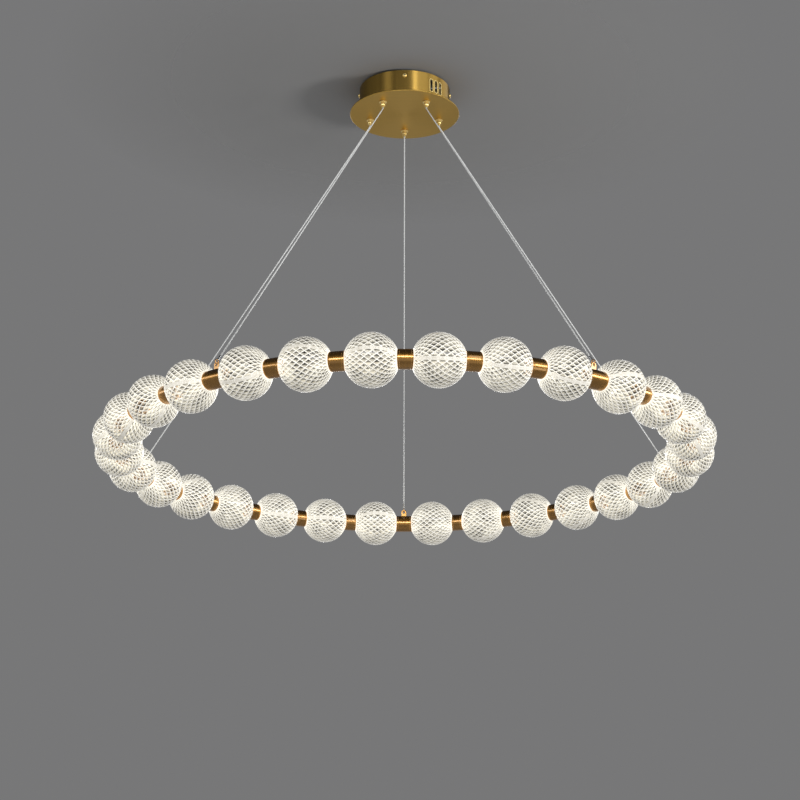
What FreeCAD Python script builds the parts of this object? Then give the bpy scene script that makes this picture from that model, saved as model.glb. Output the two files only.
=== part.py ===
"""Orb chandelier: a ring of faceted clear balls and brass spacers, hung by five cables from a round canopy.

Frame: the origin is the centre of the bracket's top face on the ceiling, +Z is up and the lamp hangs
towards -Z.  The near side of the ring is -Y, and the far cable lies at +Y.  Millimetres throughout.
"""

import FreeCAD, Part
import math
import os

from FreeCAD import Placement, Rotation, Vector

NODE_FOLDER = "parts"
os.makedirs(NODE_FOLDER, exist_ok=True)
doc = FreeCAD.newDocument("orb_chandelier")

# ---------------------------------------------------------------- driving dimensions

DIMENSIONS = {
    # ring of balls
    "ring_radius": 460,
    "ring_drop": 647,
    "ball_count": 30,
    "ball_diameter": 80,
    "ball_sides": 12,
    "ball_bands": 6,
    "cavity_diameter": 71.6,
    "cavity_sides": 7,
    "cavity_shoulder": 17,
    "pole_opening_diameter": 25,
    # brass spacers between the balls
    "spacer_diameter": 29,
    "spacer_sides": 16,
    "hanger_extra_pitch": 8.8,
    "bore_width": 12,
    "lug_width": 9,
    "lug_thickness": 2.2,
    "lug_height": 21.8,
    "lug_root": 2,
    "lug_hole_diameter": 4.2,
    "lug_sides": 12,
    # core bar and light strip inside the ring
    "core_width": 8,
    "core_height": 8,
    "strip_width": 6,
    "strip_thickness": 1,
    "joiner_length": 18,
    "joiner_height": 6,
    "joiner_thickness": 1.6,
    # canopy
    "drum_diameter": 154,
    "drum_height": 44,
    "drum_wall": 1.5,
    "drum_sides": 60,
    "disc_diameter": 186,
    "disc_thickness": 2,
    "side_screw_depth": 10,
    "side_screw_hole": 4.6,
    "screw_shank_diameter": 4,
    "screw_head_diameter": 7,
    "screw_head_height": 2.4,
    "screw_end": 2,
    "vent_count": 3,
    "vent_width": 4.6,
    "vent_length": 21,
    "vent_depth": 21,
    "vent_first_angle": 36,
    "vent_spread_angle": 15.2,
    # ceiling bracket
    "strap_length": 149,
    "strap_width": 24,
    "strap_thickness": 2,
    "tab_width": 16,
    "tab_height": 18,
    "supply_hole_diameter": 16,
    "ceiling_slot_spacing": 90,
    "ceiling_slot_width": 5,
    "ceiling_slot_length": 16,
    # power supply and terminal block on the bracket
    "driver_length": 88,
    "driver_width": 40,
    "driver_height": 22,
    "driver_offset": 34,
    "driver_cap_length": 6,
    "driver_chamfer": 2,
    "terminal_length": 32,
    "terminal_width": 18,
    "terminal_height": 14,
    "terminal_offset": 36,
    "terminal_pitch": 10,
    "terminal_slot_width": 6,
    "terminal_slot_height": 5,
    # cable grippers
    "gripper_count": 5,
    "gripper_circle_radius": 62,
    "gripper_sides": 10,
    "flange_diameter": 13,
    "flange_height": 2,
    "nozzle_diameter": 8.4,
    "nozzle_height": 6,
    "stem_diameter": 8,
    "stem_height": 16,
    "stem_clearance": 0.4,
    "chamber_diameter": 6,
    "chamber_height": 6.5,
    "nut_width": 15,
    "nut_height": 5,
    "plunger_diameter": 5.4,
    "plunger_length": 7,
    "plunger_proud": 3,
    "plunger_bore": 3.2,
    # suspension cables and the eye terminals at their lower ends
    "cable_diameter": 2,
    "cable_sides": 8,
    "cable_tail": 4,
    "cable_bend_gap": 1.5,
    "link_outer_diameter": 8.6,
    "link_inner_diameter": 6,
    "link_thickness": 1.5,
    "ferrule_diameter": 3.6,
    "ferrule_reach": 13,
    "ferrule_gap": 0.4,
}

sheet = doc.addObject("Spreadsheet::Sheet", "Dims")
for row, (alias, value) in enumerate(DIMENSIONS.items(), start=1):
    sheet.set(f"A{row}", alias)
    sheet.set(f"B{row}", str(value))
    sheet.setAlias(f"B{row}", alias)
doc.recompute()


def dim(alias):
    """The number in the sheet's cell of this name."""
    return float(sheet.get(alias))


def count(alias):
    return int(sheet.get(alias))


def bind(thing, **expressions):
    """Binds each property to an expression in which $word is a cell of the sheet."""
    for name, text in expressions.items():
        thing.setExpression(name.replace("__", "."), text.replace("$", "Dims."))
    return thing


def primitive(kind, name, **expressions):
    return bind(doc.addObject(f"Part::{kind}", name), **expressions)


def centred_box(name, length, width, height, x="0", y="0", top="0"):
    """A box centred on (x, y) that hangs down from the height `top`."""
    return primitive(
        "Box",
        name,
        Length=length,
        Width=width,
        Height=height,
        Placement__Base__x=f"{x} - ({length}) / 2",
        Placement__Base__y=f"{y} - ({width}) / 2",
        Placement__Base__z=f"{top} - ({height})",
    )


def prism(name, sides, diameter, height, bottom):
    """An upright prism with this many sides, and a flat side towards +X and towards +Y."""
    thing = primitive(
        "Prism",
        name,
        Polygon=sides,
        Circumradius=f"({diameter}) / 2",
        Height=height,
        Placement__Base__z=bottom,
    )
    doc.recompute()
    thing.Placement.Rotation = Rotation(Vector(0, 0, 1), 180 / thing.Polygon)
    return thing


def fuse(name, *things):
    union = doc.addObject("Part::MultiFuse", name)
    union.Shapes = list(things)
    return union


def cut(name, base, *tools):
    difference = doc.addObject("Part::Cut", name)
    difference.Base = base
    difference.Tool = tools[0] if len(tools) == 1 else fuse(f"{name}_tools", *tools)
    return difference


nodes = []


def keep(thing, label):
    """Gives a finished sub-part its own name and puts it on the list of nodes."""
    thing.Label = label
    nodes.append(thing)
    return thing


def feature(label, shape, placement=None):
    """A sub-part whose shape is built from polygons or is a group of equal solids."""
    thing = doc.addObject("Part::Feature", label)
    thing.Shape = shape
    if placement is not None:
        thing.Placement = placement
    return keep(thing, label)


def placed(shape, placement):
    moved = shape.copy()
    moved.Placement = placement.multiply(moved.Placement)
    return moved


def group(shapes):
    return Part.makeCompound(shapes)


# ---------------------------------------------------------------- where the balls and spacers lie

RING_RADIUS = dim("ring_radius")
BALL_COUNT = count("ball_count")
BALL_RADIUS = dim("ball_diameter") / 2
POLE_RADIUS = dim("spacer_diameter") / 2
POLE_OFFSET = math.sqrt(BALL_RADIUS**2 - POLE_RADIUS**2)
FIRST_HANGER, HANGER_STEP = 3, 6
HANGER_PLACES = [FIRST_HANGER + HANGER_STEP * n for n in range(count("gripper_count"))]
HANGER_EXTRA = dim("hanger_extra_pitch") / RING_RADIUS
PLAIN_PITCH = (2 * math.pi - len(HANGER_PLACES) * HANGER_EXTRA) / BALL_COUNT
QUARTER_TURNS = (0, 90, 180, 270)
OVERCUT = 1.0  # how far a cutting tool reaches past the face it opens


def pitch_across(place):
    """Angle between the two balls beside a spacer: a hanger spacer is longer than a plain one."""
    return PLAIN_PITCH + (HANGER_EXTRA if place % BALL_COUNT in HANGER_PLACES else 0)


def ring_angles():
    """Angles of the balls and of the spacers, counted from the near side (-Y) towards +X."""
    balls, spacers = [], [0.0]
    for place in range(BALL_COUNT):
        balls.append(spacers[-1] + pitch_across(place) / 2)
        spacers.append(balls[-1] + pitch_across(place + 1) / 2)
    return balls, spacers


BALL_ANGLES, SPACER_ANGLES = ring_angles()


def on_ring(angle, radius):
    """Local X along the ring, local Y towards its centre, local Z up."""
    place = Vector(radius * math.sin(angle), -radius * math.cos(angle), -dim("ring_drop"))
    return Placement(place, Rotation(Vector(0, 0, 1), math.degrees(angle)))


# ---------------------------------------------------------------- faceted balls


def polygon_points(x, radius, sides, turn=0.0):
    """A regular polygon about the local X axis, `turn` in parts of one side."""
    step = 2 * math.pi / sides
    return [
        Vector(x, radius * math.cos(step * (n + turn)), radius * math.sin(step * (n + turn)))
        for n in range(sides)
    ]


def solid_of(faces):
    solid = Part.makeSolid(Part.makeShell([Part.Face(Part.makePolygon(f + f[:1])) for f in faces]))
    if solid.Volume < 0:
        solid.reverse()
    return solid


def faceted_barrel(rows):
    """Closed solid through rows of points, the first and every other one turned by half a side."""
    faces = [rows[0], rows[-1]]
    for number, (low, high) in enumerate(zip(rows, rows[1:])):
        sides = len(low)
        lead = (number + 1) % 2
        for n in range(sides):
            after = (n + 1) % sides
            faces.append([low[n], low[after], high[(n + lead) % sides]])
            faces.append([high[n], high[after], low[(n + 1 - lead) % sides]])
    return solid_of(faces)


def plain_barrel(rows):
    """Closed solid through rows of points that stand in line, joined by flat four-sided faces."""
    faces = [rows[0], rows[-1]]
    for low, high in zip(rows, rows[1:]):
        for n in range(len(low)):
            after = (n + 1) % len(low)
            faces.append([low[n], low[after], high[after], high[n]])
    return solid_of(faces)


def ball_shape():
    """Diamond-cut clear shell: staggered triangular facets outside, open at both poles."""
    bands = count("ball_bands")
    end_latitude = math.asin(POLE_OFFSET / BALL_RADIUS)
    rows = []
    for band in range(bands + 1):
        latitude = end_latitude * (2 * band / bands - 1)
        x, radius = BALL_RADIUS * math.sin(latitude), BALL_RADIUS * math.cos(latitude)
        rows.append(polygon_points(x, radius, count("ball_sides"), turn=(band + 1) % 2 / 2))
    shoulder = dim("cavity_shoulder")
    shoulder_radius = math.sqrt((dim("cavity_diameter") / 2) ** 2 - shoulder**2)
    opening = dim("pole_opening_diameter") / 2
    past_end = POLE_OFFSET + OVERCUT
    inner = [
        (-past_end, opening),
        (-POLE_OFFSET, opening),
        (-shoulder, shoulder_radius),
        (shoulder, shoulder_radius),
        (POLE_OFFSET, opening),
        (past_end, opening),
    ]
    sides = count("cavity_sides")
    cavity = plain_barrel([polygon_points(x, radius, sides) for x, radius in inner])
    return faceted_barrel(rows).cut(cavity)


def make_balls():
    shape = ball_shape()
    for number, angle in enumerate(BALL_ANGLES, start=1):
        feature(f"ball_{number:02d}", shape, on_ring(angle, RING_RADIUS))


# ---------------------------------------------------------------- brass spacers

BORE_TOP = dim("core_height") / 2
BORE_BOTTOM = -dim("core_height") / 2 - dim("strip_thickness")


def spacer_place(place):
    """Angle, radius and half length of a spacer whose axis joins the flats of its two balls."""
    half_pitch = pitch_across(place) / 2
    flat_radius = math.hypot(RING_RADIUS, POLE_OFFSET)
    reach = half_pitch - math.atan2(POLE_OFFSET, RING_RADIUS)
    return half_pitch, flat_radius * math.cos(reach), flat_radius * math.sin(reach)


def spacer_shape(place):
    """Round spacer with ends mitred to the flats of its balls and a rectangular bore for the core."""
    half_pitch, _, half_length = spacer_place(place)
    lean = math.tan(half_pitch)
    sides = count("spacer_sides")
    rows = []
    for end in (-1, 1):
        ring = polygon_points(0, POLE_RADIUS, sides, turn=0.5)
        rows.append([Vector(end * (half_length - p.y * lean), p.y, p.z) for p in ring])
    bore_width, length = dim("bore_width"), 4 * half_length
    corner = Vector(-length / 2, -bore_width / 2, BORE_BOTTOM)
    bore = Part.makeBox(length, bore_width, BORE_TOP - BORE_BOTTOM, corner)
    return plain_barrel(rows).cut(bore)


def lug_shape():
    """Upright eye on top of a hanger spacer, with its hole along the radial direction."""
    width, thickness, height = dim("lug_width"), dim("lug_thickness"), dim("lug_height")
    foot = POLE_RADIUS - dim("lug_root")
    sides = count("lug_sides")
    stalk = Part.makeBox(width, thickness, height - foot, Vector(-width / 2, -thickness / 2, foot))
    lying = Placement(Vector(0, 0, height), Rotation(Vector(0, 0, 1), 90))
    half = thickness / 2
    eye = plain_barrel([polygon_points(x, width / 2, sides, 0.5) for x in (-half, half)])
    hole_radius = dim("lug_hole_diameter") / 2
    hole_sides = count("cable_sides")
    hole = plain_barrel([polygon_points(x, hole_radius, hole_sides, 0.5) for x in (-width, width)])
    return stalk.fuse(placed(eye, lying)).cut(placed(hole, lying)).removeSplitter()


def cable_number(place):
    """Number of the cable above a hanger spacer: the first is the far one, then in turn towards +X."""
    return (BALL_COUNT // 2 - place) // HANGER_STEP % len(HANGER_PLACES) + 1


def make_spacers():
    plain = []
    for place in range(BALL_COUNT):
        _, radius, _ = spacer_place(place)
        where = on_ring(SPACER_ANGLES[place], radius)
        if place in HANGER_PLACES:
            body = spacer_shape(place).fuse(lug_shape()).removeSplitter()
            feature(f"hanger_spacer_{cable_number(place)}", body, where)
        else:
            plain.append(placed(spacer_shape(place), where))
    feature("plain_spacers", group(plain))


# ---------------------------------------------------------------- core bar, its joiners and the light strips


def ring_band(first, last, inner, outer, bottom, height):
    """Flat bar that runs straight through each ball and bends in the middle of each spacer.

    `inner` and `outer` are offsets from the ring's centre line, `first` and `last` are spacers."""

    def corner(place, offset):
        angle = SPACER_ANGLES[place]
        radius = (RING_RADIUS + offset) / math.cos(pitch_across(place) / 2)
        level = bottom - dim("ring_drop")
        return Vector(radius * math.sin(angle), -radius * math.cos(angle), level)

    places = range(first, last + 1)
    outline = [corner(p, outer) for p in places] + [corner(p, inner) for p in reversed(places)]
    return Part.Face(Part.makePolygon(outline + outline[:1])).extrude(Vector(0, 0, height))


def joiner_shape(place):
    """Bent plate on the inner side of the core that bridges the joint of its two halves."""
    half_pitch = pitch_across(place) / 2
    reach = dim("joiner_length") / 2
    inner = -dim("core_width") / 2 - dim("joiner_thickness")
    outer = -dim("core_width") / 2
    height = dim("joiner_height")
    angle = SPACER_ANGLES[place]

    def point(side, offset):
        middle = (RING_RADIUS + offset) / math.cos(half_pitch)
        inward = abs(side) * reach * math.sin(half_pitch)
        return Vector(side * reach * math.cos(half_pitch), inward - middle, -height / 2)

    outline = [point(s, outer) for s in (-1, 0, 1)] + [point(s, inner) for s in (1, 0, -1)]
    plate = Part.Face(Part.makePolygon(outline + outline[:1])).extrude(Vector(0, 0, height))
    return placed(plate, on_ring(angle, 0))


def make_core():
    half = BALL_COUNT // 2
    halves = {"right": (0, half), "left": (half, BALL_COUNT)}
    core_half, strip_half = dim("core_width") / 2, dim("strip_width") / 2
    height, strip = dim("core_height"), dim("strip_thickness")
    strips = []
    for side, (first, last) in halves.items():
        bar = ring_band(first, last, -core_half, core_half, -height / 2, height)
        feature(f"core_bar_{side}", bar)
        strips.append(ring_band(first, last, -strip_half, strip_half, BORE_BOTTOM, strip))
    feature("light_strips", group(strips))
    feature("core_joiners", group([joiner_shape(0), joiner_shape(half)]))


# ---------------------------------------------------------------- canopy drum and disc


def slot_outline(x, width, length, corners):
    """Upright slot in the plane of this X: round ends of a few straight sides each."""
    half, run = width / 2, (length - width) / 2
    points = []
    for end, start in ((1, 0), (-1, math.pi)):
        for corner in range(corners + 1):
            angle = start + math.pi * corner / corners
            points.append(Vector(x, half * math.cos(angle), end * run + half * math.sin(angle)))
    return points


def through_wall(name, outline, depth_below_top, angles):
    """Tools that cut one outline through the drum's wall, at angles from the near side towards +X."""
    reach = dim("drum_diameter") / 2
    blank = plain_barrel([outline(reach - 2 * dim("drum_wall")), outline(reach + dim("drum_wall"))])
    tools = []
    for number, angle in enumerate(angles, start=1):
        tool = doc.addObject("Part::Feature", f"{name}_{number}")
        tool.Shape = placed(
            blank, Placement(Vector(0, 0, -depth_below_top), Rotation(Vector(0, 0, 1), angle - 90))
        )
        tools.append(tool)
    return tools


def make_drum():
    """Round band with upright vents on its near right side and four side screw holes."""
    sides = "$drum_sides"
    outer = prism("drum_outer", sides, "$drum_diameter", "$drum_height", "-$drum_height")
    bore = "$drum_diameter - 2 * $drum_wall"
    inner = prism("drum_inner", sides, bore, "2 * $drum_height", "-1.5 * $drum_height")
    step = dim("vent_spread_angle") / (count("vent_count") - 1)
    vent_angles = [dim("vent_first_angle") + step * n for n in range(count("vent_count"))]
    vents = through_wall(
        "vent",
        lambda x: slot_outline(x, dim("vent_width"), dim("vent_length"), corners=4),
        dim("vent_depth"),
        vent_angles,
    )
    holes = through_wall(
        "screw_hole",
        lambda x: polygon_points(x, dim("side_screw_hole") / 2, count("cable_sides"), turn=0.5),
        dim("side_screw_depth"),
        QUARTER_TURNS,
    )
    drum = cut("drum", outer, inner, *vents, *holes)
    doc.recompute()
    band = math.pi * dim("drum_diameter") * dim("drum_wall") * dim("drum_height")
    if not 0.9 * band < drum.Shape.Volume < 0.99 * band:
        raise ValueError("the drum's holes or vents cut nothing")
    keep(drum, "canopy_drum")


def make_disc():
    """Thin cover plate under the drum, with a hole for each cable gripper."""
    bottom = "-$drum_height - $disc_thickness"
    plate = prism("plate", "$drum_sides", "$disc_diameter", "$disc_thickness", bottom)
    wide, deep = "$stem_diameter + $stem_clearance", "6 * $disc_thickness"
    hole = prism("plate_hole", "$gripper_sides", wide, deep, f"{bottom} - 2 * $disc_thickness")
    doc.recompute()
    holes = doc.addObject("Part::Feature", "plate_holes")
    holes.Shape = group(around_pentagon(hole.Shape))
    keep(cut("disc", plate, holes), "canopy_disc")


# ---------------------------------------------------------------- bracket, screws, power supply, terminal block


def turned_about_z(thing, degrees):
    """A linked copy of a shape, turned about the Z axis."""
    doc.recompute()
    copy = doc.addObject("Part::Feature", f"{thing.Name}_turned_{degrees}")
    copy.Shape = placed(thing.Shape, Placement(Vector(0, 0, 0), Rotation(Vector(0, 0, 1), degrees)))
    return copy


def make_bracket():
    """Cross of two steel straps against the ceiling, with four tapped tabs bent down behind the drum."""
    straps = [
        centred_box("strap_x", "$strap_length", "$strap_width", "$strap_thickness"),
        centred_box("strap_y", "$strap_width", "$strap_length", "$strap_thickness"),
    ]
    tab = centred_box(
        "tab",
        "$strap_thickness",
        "$tab_width",
        "$tab_height",
        x="$strap_length / 2 - $strap_thickness / 2",
    )
    bore = doc.addObject("Part::Feature", "tab_bore")
    radius, tab_face = dim("screw_shank_diameter") / 2, dim("strap_length") / 2
    ends = (tab_face - 3 * dim("strap_thickness"), tab_face + dim("strap_thickness"))
    bore.Shape = plain_barrel([polygon_points(x, radius, count("cable_sides"), 0.5) for x in ends])
    bore.Placement.Base.z = -dim("side_screw_depth")
    tapped = cut("tapped_tab", tab, bore)
    tabs = [tapped] + [turned_about_z(tapped, degrees) for degrees in QUARTER_TURNS[1:]]
    cross = fuse("cross", *straps, *tabs)
    supply = primitive(
        "Cylinder",
        "supply_hole",
        Radius="$supply_hole_diameter / 2",
        Height="4 * $strap_thickness",
        Placement__Base__z="-2 * $strap_thickness",
    )
    slots = []
    for side in (-1, 1):
        centre = f"{side} * $ceiling_slot_spacing / 2"
        run = "($ceiling_slot_length - $ceiling_slot_width)"
        slots.append(
            centred_box(
                f"slot_{side + 1}", run, "$ceiling_slot_width", "4 * $strap_thickness",
                x=centre, top="2 * $strap_thickness",
            )
        )
        for end in (-1, 1):
            slots.append(
                primitive(
                    "Cylinder",
                    f"slot_end_{side + 1}_{end + 1}",
                    Radius="$ceiling_slot_width / 2",
                    Height="4 * $strap_thickness",
                    Placement__Base__x=f"{centre} + {end} * {run} / 2",
                    Placement__Base__z="-2 * $strap_thickness",
                )
            )
    keep(cut("bracket", cross, supply, *slots), "mounting_bracket")


def make_side_screws():
    """Pan-head screws through the drum into the bracket's tabs."""
    head = prism("screw_head", "$lug_sides", "$screw_head_diameter", "$screw_head_height", "0")
    reach = "($drum_diameter / 2 - $strap_length / 2 + $strap_thickness + $screw_end)"
    shank = prism("screw_shank", "$cable_sides", "$screw_shank_diameter", reach, f"-{reach}")
    screw = fuse("screw_blank", head, shank)
    doc.recompute()
    drum_flat = dim("drum_diameter") / 2 * math.cos(math.pi / count("drum_sides"))
    lying = Placement(Vector(drum_flat, 0, -dim("side_screw_depth")), Rotation(Vector(0, 1, 0), 90))
    around = [Placement(Vector(0, 0, 0), Rotation(Vector(0, 0, 1), turn)) for turn in QUARTER_TURNS]
    feature("canopy_side_screws", group([placed(screw.Shape, a.multiply(lying)) for a in around]))


def body_box(body, kind, name, length, width, height, x="0", y="0", top="0"):
    """A box of a body, added or taken away, centred on (x, y) and hanging down from `top`."""
    box = body.newObject(f"PartDesign::{kind}", name)
    return bind(
        box,
        Length=length,
        Width=width,
        Height=height,
        Placement__Base__x=f"{x} - ({length}) / 2",
        Placement__Base__y=f"{y} - ({width}) / 2",
        Placement__Base__z=f"{top} - ({height})",
    )


def chamfered(body, box, size, is_wanted):
    """Chamfers the edges of the box whose direction and middle pass the test."""
    doc.recompute()
    names = [f"Edge{n}" for n, edge in enumerate(box.Shape.Edges, start=1) if is_wanted(edge)]
    chamfer = body.newObject("PartDesign::Chamfer", "Chamfer")
    chamfer.Base = (box, names)
    bind(chamfer, Size=size)
    return chamfer


def make_driver():
    """Power supply under the rear strap: a chamfered case with two end covers."""
    body = doc.addObject("PartDesign::Body", "Driver")
    top = "-$strap_thickness"
    size = ("$driver_width", "$driver_height")
    box = body_box(body, "AdditiveBox", "Case", "$driver_length", *size, y="$driver_offset", top=top)
    case_bottom = -dim("strap_thickness") - dim("driver_height")

    def along_case_bottom(edge):
        span = edge.BoundBox
        return span.XLength > span.YLength + span.ZLength and abs(span.ZMin - case_bottom) < 0.01

    chamfered(body, box, "$driver_chamfer", along_case_bottom)
    keep(body, "driver_case")
    covers = []
    for side in (-1, 1):
        middle = f"{side} * ($driver_length + $driver_cap_length) / 2"
        name = f"driver_cover_{side + 1}"
        covers.append(
            centred_box(name, "$driver_cap_length", *size, x=middle, y="$driver_offset", top=top)
        )
    doc.recompute()
    feature("driver_end_covers", group([cover.Shape for cover in covers]))


def make_terminal_block():
    """Screw terminal block under the front strap, with three wire ways."""
    body = doc.addObject("PartDesign::Body", "Terminal")
    top = "-$strap_thickness"
    size = ("$terminal_length", "$terminal_width", "$terminal_height")
    block = body_box(body, "AdditiveBox", "Block", *size, y="-$terminal_offset", top=top)
    doc.recompute()
    block_volume = body.Shape.Volume
    for number in (-1, 0, 1):
        body_box(
            body,
            "SubtractiveBox",
            f"WireWay{number + 2}",
            "$terminal_slot_width",
            "2 * $terminal_width",
            "$terminal_slot_height",
            x=f"{number} * $terminal_pitch",
            y="-$terminal_offset",
            top="-$strap_thickness - ($terminal_height - $terminal_slot_height) / 2",
        )
    doc.recompute()
    if body.Shape.Volume >= block_volume:
        raise ValueError("the wire ways cut nothing")
    keep(body, "terminal_block")


# ---------------------------------------------------------------- cable grippers

DISC_BOTTOM = "(-$drum_height - $disc_thickness)"
NOZZLE_END = f"({DISC_BOTTOM} - $flange_height - $nozzle_height)"


def around_pentagon(shape):
    """Five copies about the Z axis: the first at +Y, the others in turn towards +X."""
    step = 360 / count("gripper_count")
    shift = Placement(Vector(0, dim("gripper_circle_radius"), 0), Rotation())
    copies = []
    for number in range(count("gripper_count")):
        turn = Placement(Vector(0, 0, 0), Rotation(Vector(0, 0, 1), -step * number))
        copies.append(placed(shape, turn.multiply(shift)))
    return copies


def make_grippers():
    sides = "$gripper_sides"
    flange = prism("flange", sides, "$flange_diameter", "$flange_height", f"{DISC_BOTTOM} - $flange_height")
    nozzle = prism("nozzle", sides, "$nozzle_diameter", "$nozzle_height", NOZZLE_END)
    stem = prism("stem", sides, "$stem_diameter", "$stem_height", DISC_BOTTOM)
    chamber = prism("chamber", sides, "$chamber_diameter", "$chamber_height", NOZZLE_END)
    jaws = prism("jaws", "$cable_sides", "$cable_diameter", "2 * $stem_height", NOZZLE_END)
    barrel = cut("barrel", fuse("barrel_blank", flange, nozzle, stem), chamber, jaws)
    nut_bottom = f"({DISC_BOTTOM} + $disc_thickness)"
    nut_block = prism("nut_block", "6", "$nut_width", "$nut_height", nut_bottom)
    bore_bottom = f"{nut_bottom} - $nut_height / 2"
    nut_bore = prism("nut_bore", sides, "$stem_diameter", "2 * $nut_height", bore_bottom)
    nut = cut("nut", nut_block, nut_bore)
    plunger_bottom = f"({NOZZLE_END} - $plunger_proud)"
    pin = prism("pin", sides, "$plunger_diameter", "$plunger_length", plunger_bottom)
    bore_bottom = f"{plunger_bottom} - $plunger_length / 2"
    bore = prism("pin_bore", "$cable_sides", "$plunger_bore", "2 * $plunger_length", bore_bottom)
    plunger = cut("plunger", pin, bore)
    doc.recompute()
    feature("gripper_barrels", group(around_pentagon(barrel.Shape)))
    feature("gripper_nuts", group(around_pentagon(nut.Shape)))
    for number, shape in enumerate(around_pentagon(plunger.Shape), start=1):
        feature(f"gripper_plunger_{number}", shape)


# ---------------------------------------------------------------- suspension cables and their eye terminals


def gripper_angle(number):
    """Angle of a cable's plane, counted from +Y towards +X."""
    return 360 / count("gripper_count") * number


def cable_points():
    """Top, bend and lower end of the first cable, in its own plane, as (radius, height)."""
    disc_bottom = -dim("drum_height") - dim("disc_thickness")
    nozzle_end = disc_bottom - dim("flange_height") - dim("nozzle_height")
    top = disc_bottom + dim("stem_height") + dim("cable_tail")
    bend = nozzle_end - dim("plunger_proud") - dim("cable_bend_gap")
    return (dim("gripper_circle_radius"), top), (dim("gripper_circle_radius"), bend)


def link_centre():
    """Centre of the eye terminal's link: its inner flat bears on the top of the lug's hole."""
    _, radius, _ = spacer_place(HANGER_PLACES[0])
    flat = math.cos(math.pi / count("cable_sides"))
    hole_top = dim("lug_hole_diameter") / 2 * flat
    link_flat = dim("link_inner_diameter") / 2 * flat
    return radius, -dim("ring_drop") + dim("lug_height") + hole_top + link_flat


def cable_direction():
    """Unit vector (radius, height) from the link's centre to the cable's bend."""
    _, (bend_radius, bend_height) = cable_points()
    link_radius, link_height = link_centre()
    run = math.hypot(bend_radius - link_radius, bend_height - link_height)
    return (bend_radius - link_radius) / run, (bend_height - link_height) / run


def in_cable_plane(shape, number):
    return placed(shape, Placement(Vector(0, 0, 0), Rotation(Vector(0, 0, 1), -gripper_angle(number))))


def cable_shape():
    """Straight down through the gripper, then one straight run to the eye terminal; mitred at the bend.

    Built in the plane of the first cable, where Y is the radius."""
    (radius, top), (_, bend) = cable_points()
    link_radius, link_height = link_centre()
    out, rise = cable_direction()
    end = Vector(0, link_radius + out * dim("ferrule_reach"), link_height + rise * dim("ferrule_reach"))
    sides = count("cable_sides")
    ring = [Vector(p.y, p.z, 0) for p in polygon_points(0, dim("cable_diameter") / 2, sides, 0.5)]
    slope = Vector(0, out, rise)
    bisector = (slope + Vector(0, 0, 1)).normalize()
    rows = [[Vector(p.x, radius + p.y, top) for p in ring]]
    bend_point = Vector(0, radius, bend)
    # a point of the upright run slides down its own line until it meets the mitre plane
    mitre = [Vector(p.x, radius + p.y, bend - p.y * bisector.y / bisector.z) for p in ring]
    rows.append(mitre)
    run = end - bend_point
    length = run.Length
    axis = run.normalize()
    rows.append([p + axis * (length - (p - bend_point).dot(axis)) for p in mitre])
    return plain_barrel(rows)


def terminal_shape():
    """Link through the lug's eye with a crimped ferrule that holds the cable's end."""
    radius, height = link_centre()
    out, rise = cable_direction()
    sides = count("cable_sides")
    half = dim("link_thickness") / 2
    outer = plain_barrel([polygon_points(x, dim("link_outer_diameter") / 2, sides, 0.5) for x in (-half, half)])
    inner_radius, width = dim("link_inner_diameter") / 2, dim("link_outer_diameter")
    inner = plain_barrel([polygon_points(x, inner_radius, sides, 0.5) for x in (-width, width)])
    ferrule = [
        polygon_points(x, dim("ferrule_diameter") / 2, sides, 0.5)
        for x in (inner_radius + dim("ferrule_gap"), dim("ferrule_reach"))
    ]
    along = Rotation(Vector(1, 0, 0), Vector(0, out, rise))
    body = outer.fuse(placed(plain_barrel(ferrule), Placement(Vector(0, 0, 0), along))).cut(inner)
    return placed(body.removeSplitter(), Placement(Vector(0, radius, height), Rotation()))


def make_cables():
    cable, terminal = cable_shape(), terminal_shape()
    numbers = range(count("gripper_count"))
    for number in numbers:
        feature(f"suspension_cable_{number + 1}", in_cable_plane(cable, number))
    feature("cable_terminals", group([in_cable_plane(terminal, number) for number in numbers]))


# ---------------------------------------------------------------- build, check and write


def check_document():
    """Stops if any object failed or a sub-part's shape is empty, invalid or has no volume."""
    for thing in doc.Objects:
        if {"Invalid", "Error"} & set(thing.State):
            raise ValueError(f"{thing.Label} failed: {thing.State}")
    labels = [thing.Label for thing in nodes]
    if len(set(labels)) != len(labels):
        raise ValueError("two sub-parts share a name")
    for thing in nodes:
        shape = thing.Shape
        if shape.isNull() or not shape.isValid() or not shape.Solids:
            raise ValueError(f"{thing.Label} has no valid solid")
        if min(solid.Volume for solid in shape.Solids) <= 0:
            raise ValueError(f"{thing.Label} is inside out")


make_bracket()
make_drum()
make_disc()
make_side_screws()
make_driver()
make_terminal_block()
make_grippers()
make_cables()
make_spacers()
make_balls()
make_core()
doc.recompute()
check_document()
for node in nodes:
    node.Shape.exportStep(os.path.join(NODE_FOLDER, f"{node.Label}.step"))
print(f"{len(nodes)} nodes written")
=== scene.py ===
"""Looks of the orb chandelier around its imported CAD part. Metres, Z up; the origin is on the ceiling.

Shapes are built in mm and turned into metres with MM. The near side is -Y and the right is +X.
"""

import math
import random

import bmesh
import bpy
from mathutils import Matrix, Vector


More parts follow.
